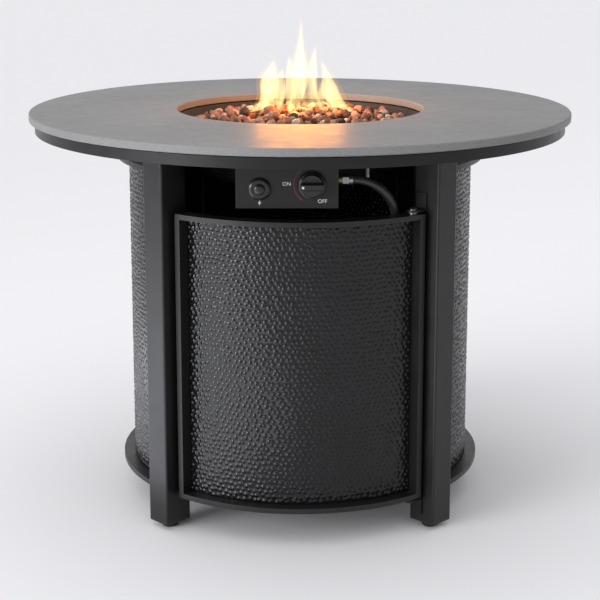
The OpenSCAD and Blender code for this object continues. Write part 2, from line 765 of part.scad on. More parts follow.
// Knob: a skirt, a tapering body and a grip bar across it, pointing to the left
module control_knob() {
    body_r = knob_r - 2.5;
    tall = knob_back - knob_front;
    bar = 5.5;
    color("#1b1b1c") difference() {
        union() {
            turned_front(knob_x, knob_back, knob_z, [
                [0, 0], [knob_r, 0], [knob_r, 3.5], [knob_r - 1, 5], [body_r, 5.5],
                [body_r - 0.6, 9], [body_r - 1.8, 10], [0, 10]
            ]);
            intersection() {
                turned_front(knob_x, knob_back, knob_z, [
                    [0, 0], [body_r, 0], [body_r - 0.6, tall - 1.5], [body_r - 1.8, tall], [0, tall]
                ]);
                translate([knob_x - knob_r, knob_back, knob_z]) rotate([90, 0, 90])
                    linear_extrude(2 * knob_r) polygon([
                        [-5, -bar], [-tall + 1.2, -bar + 0.8], [-tall, -bar + 2],
                        [-tall, bar - 2], [-tall + 1.2, bar - 0.8], [-5, bar]
                    ]);
            }
        }
        along_y(knob_x, knob_front + 5, knob_back + 1, knob_z, stem_r + run_gap / 2);
    }
}

// Igniter
module igniter_housing() {
    bezel_t = 6;
    color("#1f1f20") difference() {
        union() {
            turned_front(igniter_x, -control_y, igniter_z, [
                [0, 0], [igniter_r, 0], [igniter_r, 2.5], [igniter_r - 1.2, 4.6],
                [igniter_r - 3.5, bezel_t], [0, bezel_t]
            ]);
            along_y(igniter_x, -control_y, -control_y + housing_len, igniter_z, housing_r);
        }
        along_y(igniter_x, -control_y - bezel_t - 1, battery_front, igniter_z, button_r + run_gap);
        along_y(igniter_x, battery_front - 1, battery_back, igniter_z, battery_r + fit_gap / 2);
    }
}
module igniter_nut() {
    color("#1f1f20") translate([igniter_x, control_back, igniter_z]) rotate([-90, 0, 0]) difference() {
        hex(1.5 * housing_r, 6);
        translate([0, 0, -1]) cylinder(h = 8, r = housing_r + run_gap);
    }
}
module igniter_button() {
    proud = 10;
    back = battery_front - button_travel - 1;
    tall = back + control_y + proud;
    color("#3a3a3b") turned_front(igniter_x, back, igniter_z, [
        [0, 0], [button_r, 0], [button_r, tall - 3.4], [0.92 * button_r, tall - 1.9],
        [0.7 * button_r, tall - 0.8], [0.4 * button_r, tall - 0.2], [0, tall]
    ]);
}
module igniter_battery() {
    color("#77787c") along_y(igniter_x, battery_front + fit_gap, battery_back, igniter_z, battery_r);
}

// Gas line
module hose_nut() {
    r = hose_r + 3;
    color("#c2c0b8") translate([inlet_end_x, inlet_y, inlet_z]) rotate([0, 90, 0]) intersection() {
        hex(r, hose_nut_len);
        rotate_extrude() polygon([
            [0, 0], [0.88 * r, 0], [1.02 * r, 1.5], [1.02 * r, hose_nut_len - 1.5],
            [0.88 * r, hose_nut_len], [0, hose_nut_len]
        ]);
    }
}
module at_regulator(angle) {
    translate([regulator_xy[0], regulator_xy[1], nut_z]) at(angle) rotate([90, 0, 0]) children();
}
module hose_ferrules() {
    color("#8f8d86") {
        along_x(inlet_end_x + hose_nut_len, hose_start_x, inlet_y, inlet_z, hose_r + 1.5);
        at_regulator(regulator_angle + 180) translate([0, 0, regulator_outlet - ferrule_len])
            cylinder(h = ferrule_len, r = hose_r + 1.5);
    }
}

// Hose route: a bend below the valve, a straight drop, a wide bend above the tray and
// a gentle line along the tray to the regulator
hose_end = concat(regulator_xy + pol(regulator_outlet, regulator_angle + 180), nut_z);
function hose_y(run) = inlet_y + (hose_run_y - inlet_y) * ease(run / (3 * hose_bend));
hose_top = [for (a = [0:11.25:90])
    [hose_start_x + hose_bend * sin(a), hose_y(hose_bend * a * PI / 180), hose_drop_z + hose_bend * cos(a)]];
hose_fall = [for (i = [1:11])
    let (drop = (hose_drop_z - hose_low_z - hose_low_bend) * i / 12)
    [hose_drop_x + (hose_low_x - hose_drop_x) * ease(i / 6), hose_y(hose_bend * PI / 2 + drop),
     hose_drop_z - drop]];
hose_turn = [for (a = [0:15:90])
    [hose_low_x - hose_low_bend * (1 - cos(a)), hose_run_y - hose_swing * pow(a / 90, 2),
     hose_low_z + hose_low_bend * (1 - sin(a))]];
hose_lie = [for (i = [1:5])
    gliding(hose_turn[6], unit([-1, -0.25, 0]), hose_end, concat(pol(1, regulator_angle), 0), i / 6)];
hose_route = concat(hose_top, hose_fall, hose_turn, hose_lie, [hose_end]);

// A point on a smooth line that leaves a and reaches b in given directions
function gliding(a, leave, b, arrive, t) =
    let (u = 1 - t, far = norm(b - a))
    u * u * ((1 + 2 * t) * a + t * far * leave) + t * t * ((3 - 2 * t) * b - u * far * arrive);

// Hose: rings of points square to the route, joined into one tube
hose_sides = 10;
function unit(v) = v / norm(v);
function heading(path, i) =
    i == 0 ? [1, 0, 0] :
    i == len(path) - 1 ? concat(pol(1, regulator_angle), 0) :
    unit(path[i + 1] - path[i - 1]);
function hose_ring(p, way) =
    let (across = unit(cross(way, [0.3, 1, 0])), up = cross(way, across))
    [for (k = [0:hose_sides - 1])
        p + hose_r * (cos(360 * k / hose_sides) * across + sin(360 * k / hose_sides) * up)];

module gas_hose() {
    last = len(hose_route) - 1;
    points = [for (i = [0:last]) each hose_ring(hose_route[i], heading(hose_route, i))];
    sides = [for (i = [0:last - 1], k = [0:hose_sides - 1])
        let (a = i * hose_sides + k, b = i * hose_sides + (k + 1) % hose_sides)
        each [[a, b, b + hose_sides], [a, b + hose_sides, a + hose_sides]]];
    first_end = [[for (k = [0:hose_sides - 1]) hose_sides - 1 - k]];
    last_end = [[for (k = [0:hose_sides - 1]) last * hose_sides + k]];
    color("#161616") polyhedron(points = points, faces = concat(sides, first_end, last_end));
}

module regulator() {
    low = shelf_top + fit_gap;
    color("#54565a") {
        translate([regulator_xy[0], regulator_xy[1], low]) rotate_extrude() polygon([
            [0, 0], [regulator_r - 9, 0], [regulator_r - 4, 6], [regulator_r - 4, 15], [regulator_r, 15],
            [regulator_r, 20], [regulator_r - 4, 20], [regulator_r - 7, regulator_h - 8],
            [14, regulator_h], [0, regulator_h]
        ]);
        at_regulator(regulator_angle + 180) cylinder(h = regulator_outlet - ferrule_len, r = hose_r + 0.5);
        at_regulator(regulator_angle) {
            cylinder(h = nut_start + 10, r = 8);
            translate([0, 0, nut_start + 8]) cylinder(h = 3, r = 12);
            cylinder(h = nut_start + nut_len - 4, r = 6);
        }
    }
}

module coupling_nut() {
    rib_count = 12;
    color("#23402b") at_regulator(regulator_angle) translate([0, 0, nut_start]) difference() {
        cylinder(h = nut_len, r = nut_r);
        translate([0, 0, -1]) cylinder(h = nut_len, r = 8 + run_gap);
        translate([0, 0, 6]) cylinder(h = nut_len, r = nut_r - 4);
        for (i = [0:rib_count - 1]) at(360 * i / rib_count) translate([0, -nut_r - 1, 3])
            cylinder(h = nut_len - 6, r = 2.2);
    }
}

tabletop_slab();
tabletop_tray();
fire_bowl();
bowl_studs();
bowl_stud_nuts();
burner_plate();
burner_ring();
burner_stands();
feed_pipe();
gas_mixer();
spark_electrode();
lava_rocks();
leg_front_right();
leg_rear_right();
leg_rear_left();
leg_front_left();
leg_bolts();
leg_end_caps();
foot_front_right();
foot_rear_right();
foot_rear_left();
foot_front_left();
left_panel_frame();
left_panel_sheet();
right_panel_frame();
right_panel_sheet();
rear_panel_frame();
rear_panel_sheet();
panel_brackets();
door_frame();
door_sheet();
door_strike();
upper_hinge_bracket();
lower_hinge_bracket();
hinge_pins();
hinge_washers();
magnet_catch();
tank_tray();
tank_tray_brackets();
tank_collar();
control_panel();
gas_valve();
valve_plunger();
valve_stem();
control_knob();
igniter_housing();
igniter_nut();
igniter_button();
igniter_battery();
hose_nut();
hose_ferrules();
gas_hose();
regulator();
coupling_nut();
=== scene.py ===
"""Looks of a round gas fire pit table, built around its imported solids. Lengths are in metres."""
import json
import math
import random

import bmesh
import bpy
import numpy as np
from mathutils import Matrix, Vector, noise


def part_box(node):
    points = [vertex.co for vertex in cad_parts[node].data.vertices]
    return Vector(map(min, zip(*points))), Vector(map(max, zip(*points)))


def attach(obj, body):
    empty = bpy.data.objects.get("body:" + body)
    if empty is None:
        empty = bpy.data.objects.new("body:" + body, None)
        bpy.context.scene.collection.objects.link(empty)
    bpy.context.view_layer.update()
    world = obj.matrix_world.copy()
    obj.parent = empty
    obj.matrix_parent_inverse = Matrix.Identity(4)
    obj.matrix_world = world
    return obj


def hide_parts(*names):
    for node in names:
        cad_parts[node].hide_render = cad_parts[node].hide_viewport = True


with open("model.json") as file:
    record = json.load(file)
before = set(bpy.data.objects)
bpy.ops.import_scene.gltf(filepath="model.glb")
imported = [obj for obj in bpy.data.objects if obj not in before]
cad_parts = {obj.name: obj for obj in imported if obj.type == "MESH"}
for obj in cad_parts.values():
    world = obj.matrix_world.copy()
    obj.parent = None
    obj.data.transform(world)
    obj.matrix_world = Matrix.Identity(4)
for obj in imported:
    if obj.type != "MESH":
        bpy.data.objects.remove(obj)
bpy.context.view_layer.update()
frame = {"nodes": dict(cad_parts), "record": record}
nodes = frame["nodes"]
MM = 0.001


# Materials
class Finish:
    """A principled material with a few node patterns that feed its colour, gloss and relief."""

    def __init__(self, name, **sockets):
        self.material = bpy.data.materials.new(name)
        self.material.use_nodes = True
        self.tree = self.material.node_tree
        self.shader = self.tree.nodes["Principled BSDF"]
        self.place = self.add("ShaderNodeTexCoord").outputs["Object"]
        for socket, value in sockets.items():
            self.shader.inputs[socket.replace("_", " ")].default_value = value

    def add(self, kind, inputs=(), **settings):
        made = self.tree.nodes.new(kind)
        for name, value in settings.items():
            setattr(made, name, value)
        for name, value in dict(inputs).items():
            if isinstance(value, bpy.types.NodeSocket):
                self.tree.links.new(value, made.inputs[name])
            else:
                made.inputs[name].default_value = value
        return made

    def feed(self, socket, output):
        self.tree.links.new(output, self.shader.inputs[socket])

    def grain(self, size, detail=3.0, rough=0.55, stretch=(1, 1, 1)):
        """Soft noise whose features are about one size across."""
        scaled = self.add("ShaderNodeMapping", {"Vector": self.place, "Scale": stretch})
        place = scaled.outputs["Vector"]
        values = {"Vector": place, "Scale": 1 / size, "Detail": detail, "Roughness": rough}
        return self.add("ShaderNodeTexNoise", values).outputs["Fac"]

    def cells(self, size):
        """Distance to the nearest of scattered points about one size apart."""
        values = {"Vector": self.place, "Scale": 1 / size}
        return self.add("ShaderNodeTexVoronoi", values).outputs["Distance"]

    def ramp(self, factor, low, high, start=0.3, end=0.7):
        """A colour that runs from low to high while the factor runs from start to end."""
        made = self.add("ShaderNodeValToRGB", {"Fac": factor})
        for element, place, colour in zip(made.color_ramp.elements, (start, end), (low, high)):
            element.position = place
            element.color = (*colour, 1)
        return made.outputs["Color"]

    def level(self, factor, low, high, start=0.3, end=0.7):
        """A number that runs from low to high while the factor runs from start to end."""
        values = {"Value": factor, "From Min": start, "From Max": end, "To Min": low, "To Max": high}
        return self.add("ShaderNodeMapRange", values).outputs["Result"]

    def mix(self, first, second, factor=1.0, how="MULTIPLY"):
        made = self.add("ShaderNodeMix", data_type="RGBA", blend_type=how)
        for index, value in ((0, factor), (6, first), (7, second)):
            if isinstance(value, bpy.types.NodeSocket):
                self.tree.links.new(value, made.inputs[index])
            else:
                made.inputs[index].default_value = value
        return made.outputs[2]

    def relief(self, height, depth, edge=0.0):
        """Relief of a real depth, over edges that are softened by a small radius."""
        values = {"Height": height, "Distance": depth, "Strength": 1.0}
        if edge:
            values["Normal"] = self.add("ShaderNodeBevel", {"Radius": edge}, samples=4).outputs["Normal"]
        self.feed("Normal", self.add("ShaderNodeBump", values).outputs["Normal"])


def grey(value, blue=1.0):
    return (value, value, value * blue)


def stone_slab():
    f = Finish("stone_slab", Specular_IOR_Level=0.25)
    clouds = f.ramp(f.grain(0.16, 5), grey(0.178), grey(0.212))
    sand = f.ramp(f.grain(0.0016, 2), grey(0.80), grey(1.18), 0.25, 0.75)
    f.feed("Base Color", f.mix(clouds, sand))
    f.feed("Roughness", f.level(f.grain(0.02, 4), 0.40, 0.50))
    f.relief(f.grain(0.0012, 2), 0.00012, 0.0006)
    return f.material


def powder_coat(name, value, blue=1.06, shine=0.3):
    f = Finish(name, Specular_IOR_Level=shine)
    tone = f.ramp(f.grain(0.09, 4), grey(0.88 * value, blue), grey(1.1 * value, blue))
    fleck = f.ramp(f.grain(0.0011, 2), grey(0.86), grey(1.14), 0.25, 0.75)
    f.feed("Base Color", f.mix(tone, fleck))
    f.feed("Roughness", f.level(f.grain(0.03, 3), 0.30, 0.39))
    f.relief(f.grain(0.0009, 2), 0.00006, 0.0008)
    return f.material


def hammered_paint():
    f = Finish("hammered_paint", Specular_IOR_Level=0.34)
    tone = f.ramp(f.grain(0.07, 4), (0.004, 0.004, 0.0046), (0.007, 0.007, 0.008))
    f.feed("Base Color", tone)
    f.feed("Roughness", f.level(f.grain(0.012, 4), 0.15, 0.21))
    f.relief(f.grain(0.0010, 2), 0.00002)
    return f.material


def heat_paint():
    f = Finish("heat_paint", Specular_IOR_Level=0.4)
    tone = f.ramp(f.grain(0.05, 5), (0.010, 0.009, 0.008), (0.026, 0.021, 0.018))
    f.feed("Base Color", tone)
    f.feed("Roughness", f.level(f.grain(0.02, 4), 0.42, 0.62))
    f.relief(f.grain(0.0012, 3), 0.00008, 0.0005)
    return f.material


def metal(name, dark, light, rough, streak=(1, 1, 1), edge=0.0004):
    f = Finish(name, Metallic=1.0)
    f.feed("Base Color", f.ramp(f.grain(0.006, 4, stretch=streak), dark, light))
    f.feed("Roughness", f.level(f.grain(0.004, 3, stretch=streak), rough - 0.08, rough + 0.08))
    f.relief(f.grain(0.0008, 2, stretch=streak), 0.00003, edge)
    return f.material


def moulded(name, colour, rough=0.42):
    f = Finish(name, Specular_IOR_Level=0.5)
    low, high = (tuple(c * k for c in colour) for k in (0.85, 1.15))
    f.feed("Base Color", f.ramp(f.grain(0.02, 4), low, high))
    f.feed("Roughness", f.level(f.grain(0.006, 3), rough - 0.06, rough + 0.06))
    f.relief(f.grain(0.0007, 2), 0.00003, 0.0006)
    return f.material


def glazed_ceramic():
    f = Finish("glazed_ceramic", Coat_Weight=0.6, Coat_Roughness=0.12)
    f.feed("Base Color", f.ramp(f.grain(0.01, 4), (0.62, 0.58, 0.50), (0.78, 0.75, 0.68)))
    f.feed("Roughness", f.level(f.grain(0.004, 3), 0.25, 0.40))
    f.relief(f.grain(0.001, 2), 0.00003, 0.0004)
    return f.material


LAVA_TONES = [
    (0.00, (0.045, 0.032, 0.030)),
    (0.25, (0.130, 0.070, 0.054)),
    (0.50, (0.290, 0.145, 0.098)),
    (0.75, (0.400, 0.225, 0.160)),
    (0.90, (0.460, 0.360, 0.305)),
    (1.00, (0.600, 0.560, 0.520)),
]


def lava_rock():
    f = Finish("lava_rock", Roughness=0.92, Specular_IOR_Level=0.2)
    own = f.add("ShaderNodeAttribute", attribute_name="stone_tone").outputs["Fac"]
    body = f.add("ShaderNodeValToRGB", {"Fac": own})
    for place, _ in LAVA_TONES[1:-1]:
        body.color_ramp.elements.new(place)
    for element, (place, colour) in zip(body.color_ramp.elements, LAVA_TONES):
        element.position = place
        element.color = (*colour, 1)
    patches = f.ramp(f.grain(0.006, 4), grey(0.62), grey(1.25))
    pores = f.ramp(f.cells(0.0022), grey(0.55), grey(1.0), 0.08, 0.42)
    f.feed("Base Color", f.mix(f.mix(body.outputs["Color"], patches), pores))
    pits = f.level(f.cells(0.0026), 0.0, 1.0, 0.05, 0.5)
    broken = f.add("ShaderNodeMath", {0: pits, 1: f.grain(0.002, 4)}, operation="ADD")
    f.relief(broken.outputs[0], 0.0009)
    return f.material


def hose_rubber():
    f = Finish("hose_rubber", Specular_IOR_Level=0.5, Coat_Weight=0.2, Coat_Roughness=0.3)
    f.feed("Base Color", f.ramp(f.grain(0.03, 4), grey(0.012), grey(0.022)))
    f.feed("Roughness", f.level(f.grain(0.01, 3), 0.34, 0.46))
    f.relief(f.grain(0.0012, 2), 0.00004)
    return f.material


def print_ink(name, colour):
    f = Finish(name, Specular_IOR_Level=0.3)
    low, high = (tuple(c * k for c in colour) for k in (0.85, 1.0))
    f.feed("Base Color", f.ramp(f.grain(0.002, 3), low, high))
    f.feed("Roughness", f.level(f.grain(0.002, 3), 0.5, 0.65))
    return f.material


finishes = {
    "slab": stone_slab(),
    "tray_paint": powder_coat("tray_paint", 0.006, shine=0.32),
    "leg_paint": powder_coat("leg_paint", 0.008, shine=0.39),
    "panel_paint": powder_coat("panel_paint", 0.014, 1.02),
    "hammered": hammered_paint(),
    "bowl_steel": heat_paint(),
    "burner_steel": metal("burner_steel", (0.20, 0.15, 0.12), (0.36, 0.31, 0.27), 0.45),
    "lava": lava_rock(),
    "ceramic_white": glazed_ceramic(),
    "zinc": metal("zinc", (0.24, 0.24, 0.24), (0.36, 0.36, 0.345), 0.38),
    "black_plastic": moulded("black_plastic", grey(0.009), 0.30),
    "valve_brass": metal("valve_brass", (0.26, 0.185, 0.08), (0.40, 0.30, 0.14), 0.42),
    "battery_metal": metal("battery_metal", grey(0.25), grey(0.36), 0.30),
    "hose_rubber": hose_rubber(),
    "cast_zinc": moulded("cast_zinc", (0.085, 0.088, 0.095), 0.5),
    "nut_plastic": moulded("nut_plastic", (0.012, 0.040, 0.018)),
    "red_ink": print_ink("red_ink", (0.15, 0.026, 0.024)),
    "white_ink": print_ink("white_ink", (0.72, 0.72, 0.72)),
}
for part in frame["record"]["subparts"]:
    for place in nodes[part["node"]].material_slots:
        place.material = finishes[part["material_slot"]]


# Pieces
def add_piece(name, mesh, body, slot, finish=None, replaced=None, smooth=True):
    """Puts a mesh into the scene as a piece that rides on a body."""
    piece = bpy.data.objects.new(name, mesh)
    bpy.context.scene.collection.objects.link(piece)
    mesh.materials.clear()
    mesh.materials.append(finishes[finish or slot])
    mesh.polygons.foreach_set("use_smooth", [smooth] * len(mesh.polygons))
    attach(piece, body)
    if replaced:
        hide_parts(replaced)


def node_points(name):
    mesh = nodes[name].data
    points = np.zeros(3 * len(mesh.vertices), np.float32)
    mesh.vertices.foreach_get("co", points)
    return points.reshape(-1, 3).astype(float)


# Hammered sheets: thin curved plates embossed with small scattered bumps
BUMP_STEP = 8.5 * MM
BUMP_ROW = 0.866 * BUMP_STEP
BUMP_STRAY = 1.8 * MM
BUMP_RADIUS = 2.05 * MM
BUMP_HEIGHT = 1.75 * MM


def bump_field(across, up, seed):
    """Heights of the bumps at each crossing of two rows of places."""
    rng = random.Random(seed)
    heights = np.zeros((len(up), len(across)))
    reach = 3 * BUMP_RADIUS
    rows = int(up[-1] / BUMP_ROW) + 1
    columns = int(across[-1] / BUMP_STEP) + 1
    for row in range(rows):
        for column in range(columns):
            x = (column + 0.5 * (row % 2)) * BUMP_STEP + rng.uniform(-1, 1) * BUMP_STRAY
            z = (row + 0.5) * BUMP_ROW + rng.uniform(-1, 1) * BUMP_STRAY
            tall = BUMP_HEIGHT * rng.uniform(0.65, 1.1)
            wide = BUMP_RADIUS * rng.uniform(0.85, 1.15)
            i = slice(*np.searchsorted(up, (z - reach, z + reach)))
            k = slice(*np.searchsorted(across, (x - reach, x + reach)))
            far = ((up[i] - z) ** 2)[:, None] + ((across[k] - x) ** 2)[None, :]
            heights[i, k] = np.maximum(heights[i, k], tall * np.exp(-far / wide ** 2))
    return heights


def hammered_sheet(name, middle, body, step, seed):
    """A closed plate in the place of a curved sheet, embossed on its outer face."""
    points = node_points(name)
    radius = np.hypot(points[:, 0], points[:, 1])
    turn = np.arctan2(points[:, 0], -points[:, 1]) - middle
    turn = (turn + math.pi) % (2 * math.pi) - math.pi
    inner, outer = radius.min(), radius.max()
    low, high = points[:, 2].min(), points[:, 2].max()
    angles = np.linspace(turn.min(), turn.max(), int(outer * np.ptp(turn) / step) + 1)
    levels = np.linspace(low, high, int((high - low) / step) + 1)
    relief = bump_field((angles - angles[0]) * outer, levels - low, seed)

    def face(radii):
        around = middle + angles[None, :] + 0 * radii
        z = levels[:, None] + 0 * radii
        return np.stack([radii * np.sin(around), -radii * np.cos(around), z], axis=-1).reshape(-1, 3)

    rows, columns = relief.shape
    count = rows * columns
    corners = np.concatenate([face(outer + relief), face(inner + relief)])
    grid = np.arange(count).reshape(rows, columns)
    quads = np.stack([grid[:-1, :-1], grid[:-1, 1:], grid[1:, 1:], grid[1:, :-1]], axis=-1).reshape(-1, 4)
    rim = np.concatenate([grid[0, :-1], grid[:-1, -1], grid[-1, :0:-1], grid[:0:-1, 0]])
    ahead = np.roll(rim, -1)
    edge = np.stack([ahead, rim, rim + count, ahead + count], axis=-1)
    faces = np.concatenate([quads, quads[:, ::-1] + count, edge])
    mesh = bpy.data.meshes.new("hammered_" + name)
    mesh.from_pydata(corners.tolist(), [], faces.tolist())
    add_piece("hammered_" + name, mesh, body, "hammered", replaced=name)
    mesh.polygons.foreach_set("use_smooth", [True] * (2 * len(quads)) + [False] * len(edge))


SHEETS = [
    ("door_sheet", 0, "door", 1.25 * MM),
    ("left_panel_sheet", -90, "root", 1.6 * MM),
    ("right_panel_sheet", 90, "root", 1.6 * MM),
    ("rear_panel_sheet", 180, "root", 1.6 * MM),
]
for seed, (name, middle, body, step) in enumerate(SHEETS, start=11):
    hammered_sheet(name, math.radians(middle), body, step, seed)


# Lava rocks: each solid stone gets a rough rounded form, and smaller ones fill the gaps
def stone_shapes():
    """Corners and faces of each stone in the bed, with the corners joined up."""
    bm = bmesh.new()
    bm.from_mesh(nodes["lava_rocks"].data)
    bmesh.ops.remove_doubles(bm, verts=bm.verts, dist=1e-5)
    shapes, seen = [], set()
    for start in bm.verts:
        if start in seen:
            continue
        stone, queue = [], [start]
        seen.add(start)
        while queue:
            corner = queue.pop()
            stone.append(corner)
            for edge in corner.link_edges:
                other = edge.other_vert(corner)
                if other not in seen:
                    seen.add(other)
                    queue.append(other)
        number = {corner: i for i, corner in enumerate(stone)}
        faces = {face for corner in stone for face in corner.link_faces}
        rings = [[number[corner] for corner in face.verts] for face in faces]
        shapes.append(([corner.co.copy() for corner in stone], rings))
    bm.free()
    return shapes


STONE_SWELL = 1.16
STONE_LUMPS = [(8, 2.6), (3.4, 1.2)]
PEBBLE_COUNT = 460
PEBBLE_BED_R = 163 * MM
PEBBLE_LOW = 9 * MM
PEBBLE_TOP_EDGE = 19 * MM
PEBBLE_TOP_MIDDLE = 33 * MM
PEBBLE_PROUD = 3 * MM


def centre(corners):
    return sum(corners, Vector()) / len(corners)


def pebble(stone, rng, floor_z):
    """A smaller, flatter copy of a stone, turned and laid somewhere in the heap."""
    corners, rings = stone
    middle = centre(corners)
    spin, tip = rng.uniform(0, math.tau), rng.uniform(0, math.tau)
    turn = Matrix.Rotation(spin, 3, "Z") @ Matrix.Rotation(tip, 3, "X")
    size = rng.uniform(0.65, 1.1)
    form = turn @ Matrix.Diagonal((size, size * rng.uniform(0.65, 1), size * rng.uniform(0.55, 0.85)))
    out = math.sqrt(rng.random())
    a = rng.uniform(0, math.tau)
    top = PEBBLE_TOP_MIDDLE + (PEBBLE_TOP_EDGE - PEBBLE_TOP_MIDDLE) * out ** 2
    lift = PEBBLE_LOW + (top + PEBBLE_PROUD - PEBBLE_LOW) * math.sqrt(rng.random())
    r = PEBBLE_BED_R * out
    place = Vector((r * math.cos(a), r * math.sin(a), floor_z + lift))
    return [place + form @ (corner - middle) for corner in corners], rings


def swollen(corners, share):
    middle = centre(corners)
    return [middle + share * (corner - middle) for corner in corners]


def roughen(mesh, tones, seed):
    """Moves the points of each stone in and out so that it looks broken and porous."""
    places = [vertex.co.copy() for vertex in mesh.vertices]
    ways = [vertex.normal.copy() for vertex in mesh.vertices]
    moved = []
    for place, way, tone in zip(places, ways, tones):
        p = place * 1000 + Vector((tone * 37000, seed, tone * 11000))
        lump = sum(noise.noise(p / wide) * tall for wide, tall in STONE_LUMPS)
        moved.extend(place + way * lump * MM)
    mesh.vertices.foreach_set("co", moved)
    mesh.update()


def lava_bed():
    rng = random.Random(5)
    solid = stone_shapes()
    floor_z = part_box("burner_plate")[1].z
    shapes = [(swollen(corners, STONE_SWELL), rings) for corners, rings in solid]
    shapes += [pebble(rng.choice(solid), rng, floor_z) for _ in range(PEBBLE_COUNT)]
    corners, faces, tones = [], [], []
    for own, rings in shapes:
        faces += [[len(corners) + i for i in ring] for ring in rings]
        corners += own
        tones += [rng.betavariate(1.3, 1.2)] * len(own)
    mesh = bpy.data.meshes.new("lava_bed")
    mesh.from_pydata(corners, [], faces)
    tone = mesh.attributes.new("stone_tone", "FLOAT", "POINT")
    tone.data.foreach_set("value", tones)
    rough = bpy.data.objects.new("rough_stones", mesh)
    bpy.context.scene.collection.objects.link(rough)
    rough.modifiers.new("round", "SUBSURF").levels = 2
    bpy.context.view_layer.update()
    fine = bpy.data.meshes.new_from_object(rough.evaluated_get(bpy.context.evaluated_depsgraph_get()))
    bpy.data.objects.remove(rough)
    values = np.zeros(len(fine.vertices), np.float32)
    fine.attributes["stone_tone"].data.foreach_get("value", values)
    roughen(fine, values.tolist(), 3.0)
    fine.name = "lava_bed"
    add_piece("lava_bed", fine, "root", "lava", replaced="lava_rocks")


lava_bed()

# Gas hose: bends down behind the door and comes along the tank tray to the regulator
HOSE_DIAMETER = 0.013
HOSE_BEND = 64
HOSE_LOW_BEND = 68
HOSE_START = Vector((78, -235, 553))
HOSE_LOW = Vector((148, -202.7, 70))
HOSE_END = Vector((-21.6, -219.2, 78.3))
HOSE_END_WAY = Vector((-0.9026, 0.4305, 0))
HOSE_SWING = 13
HOSE_BEND_STEPS = 8
HOSE_DROP_STEPS = 12
HOSE_LIE_STEPS = 6


def ease(t):
    """A share that starts and stops gently on its way from 0 to 1."""
    t = min(1, max(0, t))
    return t * t * (3 - 2 * t)


def hose_bend():
    """Points of the bend below the valve and of the drop behind the door."""
    drop_z = HOSE_START.z - HOSE_BEND
    drop_x = HOSE_START.x + HOSE_BEND

    def inwards(run):
        return HOSE_START.y + (HOSE_LOW.y - HOSE_START.y) * ease(run / (3 * HOSE_BEND))

    for i in range(HOSE_BEND_STEPS + 1):
        a = math.pi / 2 * i / HOSE_BEND_STEPS
        x, z = HOSE_START.x + HOSE_BEND * math.sin(a), drop_z + HOSE_BEND * math.cos(a)
        yield Vector((x, inwards(HOSE_BEND * a), z))
    for i in range(1, HOSE_DROP_STEPS):
        drop = (drop_z - HOSE_LOW.z - HOSE_LOW_BEND) * i / HOSE_DROP_STEPS
        x = drop_x + (HOSE_LOW.x - drop_x) * ease(2 * i / HOSE_DROP_STEPS)
        yield Vector((x, inwards(HOSE_BEND * math.pi / 2 + drop), drop_z - drop))


def hose_lie():
    """Points of the bend above the tank tray and of the line to the regulator."""
    for i in range(HOSE_LIE_STEPS + 1):
        t = i / HOSE_LIE_STEPS
        a = math.pi / 2 * t
        z = HOSE_LOW.z + HOSE_LOW_BEND * (1 - math.sin(a))
        x = HOSE_LOW.x - HOSE_LOW_BEND * (1 - math.cos(a))
        place = Vector((x, HOSE_LOW.y - HOSE_SWING * t ** 2, z))
        yield place
    leave = Vector((-1, -0.25, 0)).normalized()
    far = (HOSE_END - place).length
    for i in range(1, HOSE_LIE_STEPS + 1):
        t = i / HOSE_LIE_STEPS
        u = 1 - t
        yield (u * u * ((1 + 2 * t) * place + t * far * leave)
               + t * t * ((3 - 2 * t) * HOSE_END - u * far * HOSE_END_WAY))


HOSE_ROUTE = [*hose_bend(), *hose_lie()]


def gas_hose():
    curve = bpy.data.curves.new("gas_line", "CURVE")
    curve.dimensions = "3D"
    curve.bevel_depth = HOSE_DIAMETER / 2
    curve.bevel_resolution = 5
    curve.resolution_u = 6
    line = curve.splines.new("BEZIER")
    line.bezier_points.add(len(HOSE_ROUTE) - 1)
    for point, place in zip(line.bezier_points, HOSE_ROUTE):
        point.co = place * MM
        point.handle_left_type = point.handle_right_type = "AUTO"
    piece = bpy.data.objects.new("gas_line", curve)
    bpy.context.scene.collection.objects.link(piece)
    curve.materials.append(finishes["hose_rubber"])
    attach(piece, "root")
    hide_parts("gas_hose")


gas_hose()

# Printing on the control panel and the knob
INK = 0.15 * MM
WORD_TALL = 8 * MM
panel_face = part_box("control_panel")[0].y
knob_low, knob_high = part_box("control_knob")
knob_axis = (knob_low + knob_high) / 2
igniter_axis = sum(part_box("igniter_button"), Vector()) / 2


def flat_shape(name, outline, face_y, body, finish):
    """A thin printed shape on a face that looks to the front, from points (x, z)."""
    bm = bmesh.new()
    front = bm.faces.new([bm.verts.new((x, face_y - INK, z)) for x, z in outline])
    bmesh.ops.recalc_face_normals(bm, faces=[front])
    made = bmesh.ops.extrude_face_region(bm, geom=[front])["geom"]
    back = [corner for corner in made if isinstance(corner, bmesh.types.BMVert)]
    bmesh.ops.translate(bm, vec=(0, INK, 0), verts=back)
    bmesh.ops.recalc_face_normals(bm, faces=bm.faces)
    mesh = bpy.data.meshes.new(name)
    bm.to_mesh(mesh)
    bm.free()
    slot = "panel_paint" if body == "root" else "black_plastic"
    add_piece(name, mesh, body, slot, finish, smooth=False)


def dial_point(radius, degrees):
    a = math.radians(degrees)
    return knob_axis.x + radius * math.cos(a), knob_axis.z + radius * math.sin(a)


